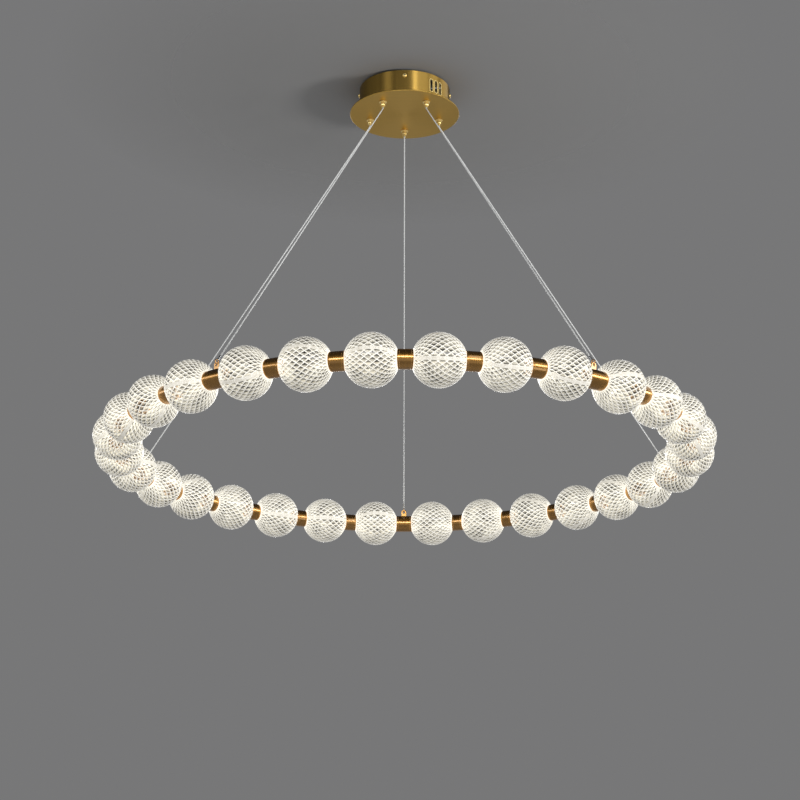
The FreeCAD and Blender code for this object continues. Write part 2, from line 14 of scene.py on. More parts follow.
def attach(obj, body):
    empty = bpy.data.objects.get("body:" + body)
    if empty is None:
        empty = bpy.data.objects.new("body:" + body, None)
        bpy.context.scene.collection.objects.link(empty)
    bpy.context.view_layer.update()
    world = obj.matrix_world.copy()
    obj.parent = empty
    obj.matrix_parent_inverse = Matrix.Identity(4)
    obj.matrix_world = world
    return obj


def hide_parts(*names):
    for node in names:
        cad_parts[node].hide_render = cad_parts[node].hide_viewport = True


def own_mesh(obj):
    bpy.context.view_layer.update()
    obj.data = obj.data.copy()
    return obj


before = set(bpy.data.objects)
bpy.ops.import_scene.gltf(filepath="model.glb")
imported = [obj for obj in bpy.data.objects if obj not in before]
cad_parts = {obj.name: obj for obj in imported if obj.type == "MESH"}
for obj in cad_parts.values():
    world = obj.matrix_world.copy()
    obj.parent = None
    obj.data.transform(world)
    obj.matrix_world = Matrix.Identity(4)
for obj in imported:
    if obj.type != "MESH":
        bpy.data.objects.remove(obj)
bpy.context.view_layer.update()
MM = 0.001

# ---------------------------------------------------------------- sizes shared with the CAD part, in mm

RING_R, RING_Z = 460.0, -647.0
BALL_R, POLE_R = 40.0, 14.5
POLE_X = math.sqrt(BALL_R**2 - POLE_R**2)
BALL_COUNT = 30
HANGER_PLACES = (3, 9, 15, 21, 27)
HANGER_EXTRA = 8.8 / RING_R
PLAIN_PITCH = (2 * math.pi - len(HANGER_PLACES) * HANGER_EXTRA) / BALL_COUNT
DRUM_R, DRUM_H, DRUM_WALL = 77.0, 44.0, 1.5
DISC_R, DISC_T = 93.0, 2.0
DISC_Z = -DRUM_H - DISC_T
GRIPPER_R = 62.0
BEND_Z = -58.5
SCREW_Z = -10.0
LUG_Z = 21.8


def pitch_across(place):
    """Angle between the two balls beside a spacer place."""
    return PLAIN_PITCH + (HANGER_EXTRA if place % BALL_COUNT in HANGER_PLACES else 0)


def ring_angles():
    """Angles of the balls and the spacers from the near side towards +X."""
    balls, spacers = [], [0.0]
    for place in range(BALL_COUNT):
        balls.append(spacers[-1] + pitch_across(place) / 2)
        spacers.append(balls[-1] + pitch_across(place + 1) / 2)
    return balls, spacers


BALL_ANGLES, SPACER_ANGLES = ring_angles()


def on_ring(angle, radius, unit=MM):
    """Local X along the ring, local Y towards its centre, local Z up; in metres, or in mm with unit 1."""
    place = Vector((radius * math.sin(angle), -radius * math.cos(angle), RING_Z)) * unit
    return Matrix.Translation(place) @ Matrix.Rotation(angle, 4, "Z")


def turn_z(degrees):
    return Matrix.Rotation(math.radians(degrees), 4, "Z")


def fifth(number):
    """Turn to gripper 0 to 4: the first is at +Y, the others follow towards +X."""
    return turn_z(-72 * number)


def new_object(name, data):
    thing = bpy.data.objects.new(name, data)
    bpy.context.scene.collection.objects.link(thing)
    return thing


# ---------------------------------------------------------------- camera

CAMERA_PLACE = Vector((-0.0076, -3.0879, -1.5579))
CAMERA_PITCH, CAMERA_YAW, CAMERA_ROLL = (math.radians(turn) for turn in (17.953, 0.0054, 0.0603))
CAMERA_LENS, SENSOR = 89.705, 36.0


def make_camera():
    data = bpy.data.cameras.new("photo_camera")
    data.lens, data.sensor_width, data.sensor_fit = CAMERA_LENS, SENSOR, "HORIZONTAL"
    data.clip_start, data.clip_end = 0.05, 60
    camera = new_object("photo_camera", data)
    sy, cy = math.sin(CAMERA_YAW), math.cos(CAMERA_YAW)
    sp, cp = math.sin(CAMERA_PITCH), math.cos(CAMERA_PITCH)
    forward = Vector((sy * cp, cy * cp, sp))
    level = Vector((cy, -sy, 0))
    above = level.cross(forward)
    sr, cr = math.sin(CAMERA_ROLL), math.cos(CAMERA_ROLL)
    right, up = cr * level + sr * above, -sr * level + cr * above
    turn = Matrix((right, up, -forward)).transposed().to_4x4()
    camera.matrix_world = Matrix.Translation(CAMERA_PLACE) @ turn
    bpy.context.scene.camera = camera


make_camera()

# ---------------------------------------------------------------- materials

# distances from the core, in mm, between which its light falls off
CORE_BRIGHT_Z, CORE_DIM_R = 10.0, 36.0
# heights of the finest relief, in metres
BRUSH_DEPTH, SPECKLE_DEPTH, MOULD_DEPTH = 0.00005, 0.00004, 0.00008


class Nodes:
    """The node tree of a new material or world, with short ways to add and join nodes."""

    def __init__(self, owner):
        owner.use_nodes = True
        self.owner = owner
        self.tree = owner.node_tree
        self.shader = self.tree.nodes.get("Principled BSDF")

    def add(self, kind, **values):
        """A node with these properties or input values."""
        node = self.tree.nodes.new(kind)
        for name, value in values.items():
            if hasattr(node, name):
                setattr(node, name, value)
            else:
                node.inputs[name.replace("_", " ")].default_value = value
        return node

    def join(self, source, target):
        self.tree.links.new(source, target)

    def set(self, **values):
        """Sets inputs of the shader."""
        for name, value in values.items():
            self.shader.inputs[name.replace("_", " ")].default_value = value
        return self

    def shade(self, **outputs):
        """Joins outputs of nodes to inputs of the shader."""
        for name, output in outputs.items():
            self.join(output, self.shader.inputs[name.replace("_", " ")])

    def place(self, scale):
        """Object coordinates times one scale, or one for each axis."""
        coords = self.add("ShaderNodeTexCoord")
        mapping = self.add("ShaderNodeMapping")
        mapping.inputs["Scale"].default_value = scale if isinstance(scale, tuple) else (scale,) * 3
        self.join(coords.outputs["Object"], mapping.inputs["Vector"])
        return mapping.outputs["Vector"]

    def noise(self, scale, detail=3.0, roughness=0.5):
        node = self.add("ShaderNodeTexNoise", Scale=1.0, Detail=detail, Roughness=roughness)
        self.join(self.place(scale), node.inputs["Vector"])
        return node.outputs["Fac"]

    def ramp(self, value, first, last):
        """A colour ramp between two (position, colour) stops."""
        node = self.add("ShaderNodeValToRGB")
        for element, (position, colour) in zip(node.color_ramp.elements, (first, last)):
            element.position = position
            element.color = (*colour, 1.0)
        self.join(value, node.inputs["Fac"])
        return node.outputs["Color"]

    def spread(self, value, low, high, start=0.3, end=0.7):
        """Maps start to end, by default the middle of a noise, to the numbers low to high."""
        node = self.add("ShaderNodeMapRange")
        for name, number in zip(("From Min", "From Max", "To Min", "To Max"), (start, end, low, high)):
            node.inputs[name].default_value = number
        self.join(value, node.inputs["Value"])
        return node.outputs["Result"]

    def bump(self, height, distance, strength):
        node = self.add("ShaderNodeBump", Distance=distance, Strength=strength)
        self.join(height, node.inputs["Height"])
        self.shade(Normal=node.outputs["Normal"])

    def maths(self, operation, one, other=None, use_clamp=False):
        """The output of a maths node; other is an output or a decimal number."""
        node = self.add("ShaderNodeMath", operation=operation, use_clamp=use_clamp)
        self.join(one, node.inputs[0])
        if isinstance(other, float):
            node.inputs[1].default_value = other
        elif other is not None:
            self.join(other, node.inputs[1])
        return node.outputs[0]

    def length(self, x, y):
        pair = self.add("ShaderNodeCombineXYZ")
        self.join(x, pair.inputs["X"])
        self.join(y, pair.inputs["Y"])
        node = self.add("ShaderNodeVectorMath", operation="LENGTH")
        self.join(pair.outputs[0], node.inputs[0])
        return node.outputs["Value"]

    def fade_out(self, radius, share):
        """1 near the object's origin, falling to 0 over the last share of a radius in metres."""
        gradient = self.add("ShaderNodeTexGradient", gradient_type="SPHERICAL")
        self.join(self.place(1 / radius), gradient.inputs["Vector"])
        return self.spread(gradient.outputs["Fac"], 0, 1, 0.0, share)

    def core_light(self):
        """Strength of the core's light at a point: most at the poles, less above and below the ring."""
        parts = self.add("ShaderNodeSeparateXYZ")
        self.join(self.place(1), parts.inputs[0])
        x, y, z = parts.outputs
        outwards = self.maths("SUBTRACT", self.length(x, y), RING_R * MM)
        upwards = self.maths("SUBTRACT", z, RING_Z * MM)
        from_core, from_plane = self.length(outwards, upwards), self.maths("ABSOLUTE", upwards)
        near_pole = self.spread(from_core, 1.35, 1.0, POLE_R * MM, CORE_DIM_R * MM)
        near_plane = self.spread(from_plane, 1.0, 0.5, CORE_BRIGHT_Z * MM, CORE_DIM_R * MM)
        return self.maths("MULTIPLY", near_pole, near_plane)

    def unsampled(self):
        """The material; Cycles finds its weak light by chance and aims no rays at it."""
        self.owner.cycles.emission_sampling = "NONE"
        return self.owner


def surface(name):
    return Nodes(bpy.data.materials.new(name))


def brass(name, scale, dark, light, rough, grain, turned=False, **more):
    """Satin brass with fine brush lines across the direction of the largest scale."""
    m = surface(name).set(Metallic=1.0, Coat_Roughness=0.12).set(**more)
    lines = m.noise(scale, detail=4.0, roughness=0.65)
    patches = m.noise(9, detail=2.0)
    both = m.maths("MULTIPLY", lines, m.spread(patches, 0.85, 1.15))
    m.shade(Base_Color=m.ramp(both, (0.3, dark), (0.68, light)), Roughness=m.spread(lines, *rough))
    m.bump(lines, BRUSH_DEPTH, grain)
    if turned:
        m.set(Anisotropic=0.6)
        m.shade(Tangent=m.add("ShaderNodeTangent", direction_type="RADIAL", axis="Z").outputs[0])
    return m.owner


CANOPY_TONES = (0.76, 0.475, 0.105), (0.82, 0.52, 0.125)
SPACER_TONES = (0.53, 0.25, 0.042), (0.63, 0.315, 0.055)
TURNED_HIGHLIGHT_TONES = (0.94, 0.66, 0.22), (0.99, 0.78, 0.33)
EDGE_HIGHLIGHT_TONES = (1.0, 0.76, 0.30), (1.0, 0.82, 0.38)
THICK_COAT = {"Coat_Weight": 0.7, "Coat_IOR": 1.9}
DRUM_BRASS = brass("satin_brass_drum", (420, 420, 5), *CANOPY_TONES, (0.22, 0.27), 0.2)
DISC_BRASS = brass("satin_brass_disc", (14, 900, 14), *CANOPY_TONES, (0.30, 0.38), 0.35, turned=True)
SPACER_BRASS = brass("satin_brass_spacer", (900, 40, 40), *SPACER_TONES, (0.26, 0.30), 0.04, **THICK_COAT)
# lathe-turned parts: smoother brass, made lighter and partly diffuse, a painted highlight that brightens
# the grippers and screws
TURNED_HIGHLIGHT_BRASS = brass("turned_brass_painted_highlight", (60, 60, 1500), *TURNED_HIGHLIGHT_TONES, (0.10, 0.16), 0.1, Metallic=0.7)
# the vents' rims: light, partly diffuse brass, a painted highlight
VENT_EDGE_HIGHLIGHT = brass("vent_edge_painted_highlight", (60, 60, 1500), *EDGE_HIGHLIGHT_TONES, (0.2, 0.3), 0.1, Metallic=0.35)


def speckled(name, scale, dark, light, rough=(0.35, 0.5), metallic=0.0, depth=SPECKLE_DEPTH):
    """A slightly mottled surface: plated metal, moulded plastic or milled aluminium."""
    m = surface(name).set(Metallic=metallic)
    grain = m.noise(scale, detail=5.0, roughness=0.6)
    m.shade(Base_Color=m.ramp(grain, (0.32, dark), (0.68, light)), Roughness=m.spread(grain, *rough))
    m.bump(grain, depth, 0.3)
    return m.owner


# near black: painted shade, for the drum's inside seen through the vents and for the screws' cross recesses
SHADE_BLACK_TONES = (0.012, 0.012, 0.012), (0.03, 0.028, 0.026)
ZINC_TONES = (0.45, 0.46, 0.48), (0.66, 0.67, 0.68)
ALUMINIUM_TONES = (0.62, 0.62, 0.62), (0.82, 0.82, 0.82)
WHITE_TONES = (0.80, 0.80, 0.78), (0.86, 0.86, 0.84)
GREY_TONES = (0.26, 0.26, 0.27), (0.34, 0.34, 0.35)
TERMINAL_TONES = (0.80, 0.79, 0.76), (0.88, 0.87, 0.84)
SHADE_BLACK = speckled("painted_shade_black", 400, *SHADE_BLACK_TONES, (0.6, 0.8))
ZINC = speckled("zinc_plate", 90, *ZINC_TONES, (0.28, 0.44), metallic=1.0)
ALUMINIUM = speckled("mill_aluminium", (12, 12, 700), *ALUMINIUM_TONES, (0.3, 0.42), metallic=1.0)
WHITE_PLASTIC = speckled("driver_white", 700, *WHITE_TONES, depth=MOULD_DEPTH)
GREY_PLASTIC = speckled("driver_grey", 700, *GREY_TONES, depth=MOULD_DEPTH)
TERMINAL_WHITE = speckled("terminal_white", 500, *TERMINAL_TONES, (0.25, 0.35))

ACRYLIC_IOR = 1.49
RIM_SHEEN = {"Sheen_Weight": 1.0, "Sheen_Roughness": 0.2}
CORE_TINT = (1.0, 0.945, 0.80, 1)


def glow(name, dull, bright, strength, rough, base, scale=500, in_ball=True):
    """Frosted acrylic that carries light from the core: brighter and duller grains of warm white."""
    m = surface(name).set(Roughness=rough, IOR=ACRYLIC_IOR)
    grain = m.noise(scale, detail=3.0)
    power = m.spread(grain, 0.75 * strength, 1.2 * strength)
    if in_ball:
        m.set(**RIM_SHEEN)
        power = m.maths("MULTIPLY", power, m.core_light())
    m.shade(Emission_Color=m.ramp(grain, (0.35, dull), (0.65, bright)), Emission_Strength=power)
    m.shade(Base_Color=m.ramp(grain, (0.3, tuple(0.85 * c for c in base)), (0.7, base)))
    return m.unsampled()


NET_TONES = (1.0, 0.95, 0.82), (1.0, 0.98, 0.90)
SEAM_TONES = (1.0, 0.91, 0.73), (1.0, 0.97, 0.86)
STRIP_TONES = (1.0, 0.90, 0.72), (1.0, 0.95, 0.84)
NET_GLOW = glow("acrylic_net", *NET_TONES, 0.90, 0.35, (0.30, 0.29, 0.28))
SEAM_GLOW = glow("acrylic_seam", *SEAM_TONES, 0.62, 0.3, (0.32, 0.31, 0.29))
STRIP_GLOW = glow("light_strip", *STRIP_TONES, 0.6, 0.4, (0.5, 0.48, 0.44), scale=160, in_ball=False)


def facet(name, dark, light, haziest, weakest, strongest):
    """Clear acrylic of the balls, with some of the core's light: patches from clear to hazy, and patches of
    darker and lighter tint that are painted shade.
    """
    m = surface(name).set(Transmission_Weight=1.0, IOR=ACRYLIC_IOR, Emission_Color=CORE_TINT, **RIM_SHEEN)
    patches = m.noise(45, detail=1.0)
    haze = m.noise(260, detail=3.0)
    power = m.maths("MULTIPLY", m.spread(patches, weakest, strongest, 0.38, 0.66), m.core_light())
    m.shade(Base_Color=m.ramp(patches, (0.38, dark), (0.66, light)))
    m.shade(Roughness=m.spread(haze, 0.0, haziest), Emission_Strength=power)
    return m.unsampled()


# the dark facets' tint is painted shade for the darker view through them; the acrylic itself is clear
DARK_FACET = facet("acrylic_facet_dark", (0.05, 0.05, 0.05), (0.42, 0.41, 0.38), 0.04, 0.0, 0.14)
LIGHT_FACET = facet("acrylic_facet_light", (0.66, 0.64, 0.59), (0.90, 0.88, 0.81), 0.06, 0.22, 0.42)
CAVITY_WALL = facet("acrylic_cavity", (0.92, 0.91, 0.86), (0.98, 0.97, 0.93), 0.05, 0.01, 0.05)


def cable_sheath():
    """Stranded steel seen through a thin clear sheath."""
    m = surface("cable_sheath").set(Roughness=0.32, Metallic=0.1, Coat_Weight=0.4, Coat_Roughness=0.2)
    wave = m.add("ShaderNodeTexWave", bands_direction="DIAGONAL", Scale=420.0, Distortion=1.5)
    m.join(m.place(1), wave.inputs["Vector"])
    strands = wave.outputs["Fac"]
    m.shade(Base_Color=m.ramp(strands, (0.2, (0.52, 0.52, 0.51)), (0.8, (0.68, 0.68, 0.66))))
    m.bump(strands, BRUSH_DEPTH, 0.25)
    return m.owner


CABLE = cable_sheath()

# ---------------------------------------------------------------- mesh building


def angles_round(count):
    return [2 * math.pi * n / count for n in range(count)]


class Shape:
    """Points and faces in mm, each face with the number of its material."""

    def __init__(self):
        self.points, self.faces, self.slots = [], [], []

    def face(self, corners, slot=0):
        self.faces.append(tuple(corners))
        self.slots.append(slot)

    def join_rows(self, lower, upper, count, slot):
        """Four-sided faces between the rows that start at these two points."""
        for n in range(count):
            after = (n + 1) % count
            self.face((lower + n, lower + after, upper + after, upper + n), slot)

    def rings(self, rows, slot=0):
        """Joins closed rows of equal numbers of points; returns the number of the first point."""
        start, count = len(self.points), len(rows[0])
        for row in rows:
            self.points.extend(Vector(p) for p in row)
        for r in range(len(rows) - 1):
            self.join_rows(start + r * count, start + (r + 1) * count, count, slot)
        return start

    def loop(self, rows, slot=0):
        """As rings, with the last row joined to the first."""
        start, count = self.rings(rows, slot), len(rows[0])
        self.join_rows(start + (len(rows) - 1) * count, start, count, slot)

    def lathe(self, profile, sides, slot=0, whole=True):
        """Turns (radius, height) points about Z; whole closes the profile on itself."""
        angles = angles_round(sides)
        rows = [[(r * math.cos(a), r * math.sin(a), z) for a in angles] for r, z in profile]
        (self.loop if whole else self.rings)(rows, slot)

    def cap(self, row_start, count, slot=0):
        self.face(range(row_start, row_start + count), slot)

    def prism(self, rows):
        """Rings with both ends capped."""
        start, count = self.rings(rows), len(rows[0])
        self.cap(start, count)
        self.cap(start + (len(rows) - 1) * count, count)
        return self

    def moved(self, matrix):
        """A copy moved by a matrix in mm."""
        copy = Shape()
        copy.points = [matrix @ p for p in self.points]
        copy.faces, copy.slots = list(self.faces), list(self.slots)
        return copy

    def take(self, other):
        start = len(self.points)
        self.points.extend(other.points)
        self.faces.extend(tuple(start + i for i in f) for f in other.faces)
        self.slots.extend(other.slots)
        return self

    def mesh(self, name, materials=(), smooth_angle=None):
        mesh = bpy.data.meshes.new(name)
        mesh.from_pydata([p * MM for p in self.points], [], self.faces)
        for material in materials:
            mesh.materials.append(material)
        mesh.polygons.foreach_set("material_index", self.slots)
        reworked(mesh, 1e-7, lambda work: bmesh.ops.recalc_face_normals(work, faces=work.faces))
        return mesh if smooth_angle is None else smoothed(mesh, smooth_angle)


def reworked(mesh, merge_distance, change):
    """Merges the points of a mesh that are closer than this, and then makes a change to it."""
    work = bmesh.new()
    work.from_mesh(mesh)
    bmesh.ops.remove_doubles(work, verts=work.verts, dist=merge_distance)
    change(work)
    work.to_mesh(mesh)
    work.free()


def smoothed(mesh, angle=30):
    mesh.shade_smooth()
    mesh.set_sharp_from_angle(angle=math.radians(angle))
    return mesh


def with_modifiers(mesh, *steps):
    """The mesh after modifiers, each a (kind, settings) pair: cuts, edge rounding and weighted normals."""
    carrier = new_object("carrier", mesh)
    helpers = []
    for kind, settings in steps:
        modifier = carrier.modifiers.new(kind, kind)
        for key, value in settings.items():
            if key == "cutter":
                helpers.append(new_object("cutter", value.mesh("cutter")))
                modifier.object = helpers[-1]
            else:
                setattr(modifier, key, value)
    bpy.context.view_layer.update()
    graph = bpy.context.evaluated_depsgraph_get()
    made = bpy.data.meshes.new_from_object(carrier.evaluated_get(graph))
    made.name = mesh.name
    for thing in (carrier, *helpers):
        bpy.data.objects.remove(thing)
    return made


def cut_by(cutter):
    return "BOOLEAN", {"operation": "DIFFERENCE", "solver": "EXACT", "cutter": cutter}


def rounding(width, angle=35):
    settings = {"segments": 2, "limit_method": "ANGLE", "harden_normals": False}
    return "BEVEL", {"width": width * MM, "angle_limit": math.radians(angle), **settings}


def show(name, mesh, body, replaced=(), matrix=None):
    """Adds a piece that rides on a body and stands for CAD nodes."""
    piece = new_object(name, mesh)
    if matrix is not None:
        piece.matrix_world = matrix
    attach(piece, body)
    if replaced:
        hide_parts(*replaced)
    return piece


# ---------------------------------------------------------------- diamond-cut balls

CELLS_AROUND, CELL_ROWS = 28, 8
LATTICE_END = 2 * CELL_ROWS
POLE_ANGLE = math.asin(POLE_R / BALL_R)
GROOVE_R, RIM_R, CREST_R = 38.9, 39.2, 39.7
RIM_SHARE = 0.835
POLE_CELL_CENTRE = 0.35
CAVITY_R, CAVITY_STEPS = 35.8, 14
MOUTH_X, MOUTH_R, MOUTH_FLAT_R = 36.95, 12.5, 13.6
SEAM_LOW, SEAM_HIGH = 38.6, 39.6
SEAM_HALF, SEAM_TOP_SHARE, SEAM_STEPS = 3.2, 0.75, 24
NET, DARK, LIGHT, SEAM, CAVITY = range(5)
BALL_MATERIALS = [NET_GLOW, DARK_FACET, LIGHT_FACET, SEAM_GLOW, CAVITY_WALL]
ROLL_SEED = 11
# degrees, for the balls whose seam the photo shows
SEEN_ROLLS = {1: 15, 2: 23, 3: 35, 28: 34, 29: -24, 30: -8}


def ball_point(row, column, radius=BALL_R):
    """A point of the lattice: row 0 to LATTICE_END from pole to pole, column in cells about X."""
    theta = POLE_ANGLE + (math.pi - 2 * POLE_ANGLE) * row / LATTICE_END
    phi = 2 * math.pi * column / CELLS_AROUND
    flat = math.sin(theta)
    return Vector((-math.cos(theta), flat * math.cos(phi), flat * math.sin(phi))) * radius


def add_cell(ball, row, column):
    """A rhombic cell: glowing groove walls round two clear facets that meet on a crest along the axis."""
    corners = [(row - 1, column), (row, column + 0.5), (row + 1, column), (row, column - 0.5)]
    corners = [c for c in corners if 0 <= c[0] <= LATTICE_END]
    centre_row = min(max(row, POLE_CELL_CENTRE), LATTICE_END - POLE_CELL_CENTRE)
    centre = ball_point(centre_row, column)
    outer = [ball_point(r, c, GROOVE_R) for r, c in corners]
    rim = []
    for r, c in corners:
        radius = CREST_R if c == column else RIM_R
        rim.append(centre.lerp(ball_point(r, c), RIM_SHARE).normalized() * radius)
    start = ball.rings([outer, rim], NET) + len(corners)
    if len(corners) == 4:
        # the facets that face one way round the ball are dark in one half shell and light in the other; the
        # darkness is painted shade for the view through them
        first_half = 0 < column < CELLS_AROUND / 2
        ball.face((start, start + 1, start + 2), DARK if first_half else LIGHT)
        ball.face((start, start + 2, start + 3), LIGHT if first_half else DARK)
    else:
        ball.cap(start, 3, LIGHT)


def add_seam(ball, column):
    """Smooth bonded seam of the two half shells: a low rib from pole to pole."""
    phi = 2 * math.pi * column / CELLS_AROUND
    side = Vector((0, -math.sin(phi), math.cos(phi))) * SEAM_HALF
    top = side * SEAM_TOP_SHARE
    rows = []
    for n in range(SEAM_STEPS + 1):
        along = ball_point(LATTICE_END * n / SEAM_STEPS, column, 1)
        low, high = along * SEAM_LOW, along * SEAM_HIGH
        rows.append([low - side, high - top, high + top, low + side])
    start = ball.rings(rows, SEAM)
    ball.cap(start, 4, SEAM)
    ball.cap(start + 4 * SEAM_STEPS, 4, SEAM)


def circle_about_x(x, radius):
    return [(x, radius * math.cos(a), radius * math.sin(a)) for a in angles_round(CELLS_AROUND)]


def ball_shape():
    """The ball about the ring's line, X: cells, seams, the flat mouths and the cavity."""
    ball = Shape()
    for row in range(LATTICE_END + 1):
        for cell in range(CELLS_AROUND):
            add_cell(ball, row, cell + (row + 1) % 2 / 2)
    for column in (0, CELLS_AROUND / 2):
        add_seam(ball, column)
    for end, row in ((-1, 0), (1, LATTICE_END)):
        rim = [ball_point(row, n, GROOVE_R) for n in range(CELLS_AROUND)]
        flat = circle_about_x(end * MOUTH_X, MOUTH_FLAT_R)
        ball.rings([rim, flat, circle_about_x(end * MOUTH_X, MOUTH_R)], NET)
    mouth_angle = math.asin(MOUTH_R / CAVITY_R)
    rows = [circle_about_x(-MOUTH_X, MOUTH_R)]
    for n in range(CAVITY_STEPS + 1):
        theta = mouth_angle + (math.pi - 2 * mouth_angle) * n / CAVITY_STEPS
        rows.append(circle_about_x(-CAVITY_R * math.cos(theta), CAVITY_R * math.sin(theta)))
    ball.rings([*rows, circle_about_x(MOUTH_X, MOUTH_R)], CAVITY)
    return ball


def make_balls():
    shape = ball_shape()
    chance = random.Random(ROLL_SEED)
    for number, angle in enumerate(BALL_ANGLES, start=1):
        any_roll = chance.uniform(0, 360)
        roll = math.radians(SEEN_ROLLS.get(number, any_roll))
        rolled = shape.moved(on_ring(angle, RING_R, 1) @ Matrix.Rotation(roll, 4, "X"))
        name = f"ball_{number:02d}"
        mesh = rolled.mesh(f"cut_{name}", BALL_MATERIALS, smooth_angle=20)
        show(f"cut_{name}", mesh, "ring", [name])


# ---------------------------------------------------------------- brass spacers

SPACER_SIDES = 64
# radius and distance back from the mitred end: bore, end face, rounded edge and a fine turned groove
SPACER_END = (
    (7.6, 0.0), (13.9, 0.0), (14.3, 0.12), (POLE_R, 0.5),
    (POLE_R, 2.4), (14.36, 2.6), (14.36, 2.9), (POLE_R, 3.1),
)
EYE_HOLE_R, EYE_R, LUG_ROOT = 2.1, 4.5, -9.5
LUG_HALF, LUG_EDGE, LUG_SIDES = 1.1, 0.35, 40


def spacer_place(place):
    """Half the pitch at a place, the spacer's distance from the ring's axis and half its length."""
    half_pitch = pitch_across(place) / 2
    flat_radius = math.hypot(RING_R, POLE_X)
    reach = half_pitch - math.atan2(POLE_X, RING_R)
    return half_pitch, flat_radius * math.cos(reach), flat_radius * math.sin(reach)


def spacer_shape(place):
    """Round tube with mitred, rounded ends and a bore for the core."""
    half_pitch, _, half_length = spacer_place(place)
    lean = math.tan(half_pitch)
    rows = []
    for end, order in ((-1, SPACER_END), (1, SPACER_END[::-1])):
        for radius, back in order:
            circle = [(radius * math.cos(a), radius * math.sin(a)) for a in angles_round(SPACER_SIDES)]
            rows.append([(end * (half_length - y * lean - back), y, z) for y, z in circle])
    tube = Shape()
    tube.loop(rows)
    return tube


def lug_outline(inset, y):
    """Round above the eye's centre and straight-sided below it, down to the root in the spacer."""
    row = []
    radius = EYE_R - inset
    for angle in angles_round(LUG_SIDES):
        x, z = math.cos(angle), math.sin(angle)
        reach = radius if z >= 0 else min(radius / max(abs(x), 1e-6), LUG_ROOT / min(z, -1e-6))
        row.append((x * reach, y, LUG_Z + z * reach))
    return row


def lug_hole(inset, y):
    radius = EYE_HOLE_R + inset
    return [(radius * math.cos(a), y, LUG_Z + radius * math.sin(a)) for a in angles_round(LUG_SIDES)]


def lug_shape():
    """Upright eye on a hanger spacer: a rounded plate with its hole along the radial direction."""
    lug = Shape()
    face, shoulder = LUG_HALF, LUG_HALF - LUG_EDGE
    rows = [lug_hole(LUG_EDGE, -face), lug_outline(LUG_EDGE, -face), lug_outline(0, -shoulder)]
    rows += [lug_outline(0, shoulder), lug_outline(LUG_EDGE, face), lug_hole(LUG_EDGE, face)]
    rows += [lug_hole(0, shoulder), lug_hole(0, -shoulder)]
    lug.loop(rows)
    return lug


def make_spacers():
    plain = spacer_shape(0).mesh("plain_spacer", [SPACER_BRASS], smooth_angle=32)
    with_lug = spacer_shape(HANGER_PLACES[0]).take(lug_shape())
    hanger = with_lug.mesh("hanger_spacer", [SPACER_BRASS], smooth_angle=32)
    for place in range(BALL_COUNT):
        _, radius, _ = spacer_place(place)
        where = on_ring(SPACER_ANGLES[place], radius)
        if place in HANGER_PLACES:
            # hanger 1 is at the far side, +Y, and the numbers go round as the grippers' do
            number = HANGER_PLACES.index(BALL_COUNT // 2) - HANGER_PLACES.index(place)
            node = f"hanger_spacer_{number % len(HANGER_PLACES) + 1}"
            show(f"round_{node}", hanger, "ring", [node], where)
        else:
            show(f"round_spacer_{place:02d}", plain, "ring", ["plain_spacers"], where)


# ---------------------------------------------------------------- canopy

CANOPY_SIDES = 180
DRUM_INNER_R = DRUM_R - DRUM_WALL
DRUM_EDGE = 0.4
DRUM_PROFILE = (
    (DRUM_INNER_R, 0), (DRUM_R - DRUM_EDGE, 0), (DRUM_R, -DRUM_EDGE), (DRUM_R, -1.2),
    (DRUM_R, 1 - DRUM_H), (DRUM_R, -DRUM_H), (DRUM_INNER_R, -DRUM_H),
)
DISC_PROFILE = (
    (0.01, -DRUM_H), (DISC_R - 0.5, -DRUM_H), (DISC_R - 0.1, -DRUM_H - 0.35), (DISC_R, -DRUM_H - 1),
    (DISC_R - 0.1, DISC_Z + 0.35), (DISC_R - 0.5, DISC_Z), (0.01, DISC_Z),
)
DISC_HOLE_R, DISC_HOLE_SIDES, DISC_HOLE_ENDS = 4.2, 32, (-60, -30)
VENT_ANGLES, VENT_WIDTH, VENT_LENGTH, VENT_Z = (36.0, 43.6, 51.2), 5.4, 21.8, -21.0
# how far each row of a vent's rim is outside the opening and above the drum's face
VENT_RIM = ((1.15, 0.0), (1.1, 0.06), (0.4, 0.06), (-0.15, -0.7))
SCREW_TURNS = (0, 90, 180, 270)
SCREW_HOLE = 4.6
END_STEPS = 12
HAIR = 0.0001
# reach of a cutter on both sides of the drum's face; how far over its inner radius a face is still inside
CUT_REACH, SKIN = 4, 0.05


def slot_outline(width, length):
    """A slot with half-round ends, upright in Z."""
    half, run = width / 2, (length - width) / 2
    outline = []
    for end, start in ((1, 0), (-1, math.pi)):
        for n in range(END_STEPS + 1):
            a = start + math.pi * n / END_STEPS
            outline.append((half * math.cos(a), end * run + half * math.sin(a)))
    return outline


def slot_cutter(angle, width, length, height):
    """A cutter through the drum's wall at this angle from the near side towards +X."""
    outline = slot_outline(width, length)
    ends = (DRUM_R - CUT_REACH, DRUM_R + CUT_REACH)
    cutter = Shape().prism([[(x, y, z + height) for y, z in outline] for x in ends])
    return cutter.moved(turn_z(angle - 90))


def vent_rim(angle):
    """Chamfered edge of a vent, from the drum's face into the opening, in light, partly diffuse brass as a
    painted highlight.
    """
    rim = Shape()
    rows = []
    for grow, out in VENT_RIM:
        outline = slot_outline(VENT_WIDTH + 2 * grow, VENT_LENGTH + 2 * grow)
        rows.append([(math.sqrt(DRUM_R**2 - y * y) + out, y, z + VENT_Z) for y, z in outline])
    rim.rings(rows)
    return rim.moved(turn_z(angle - 90))


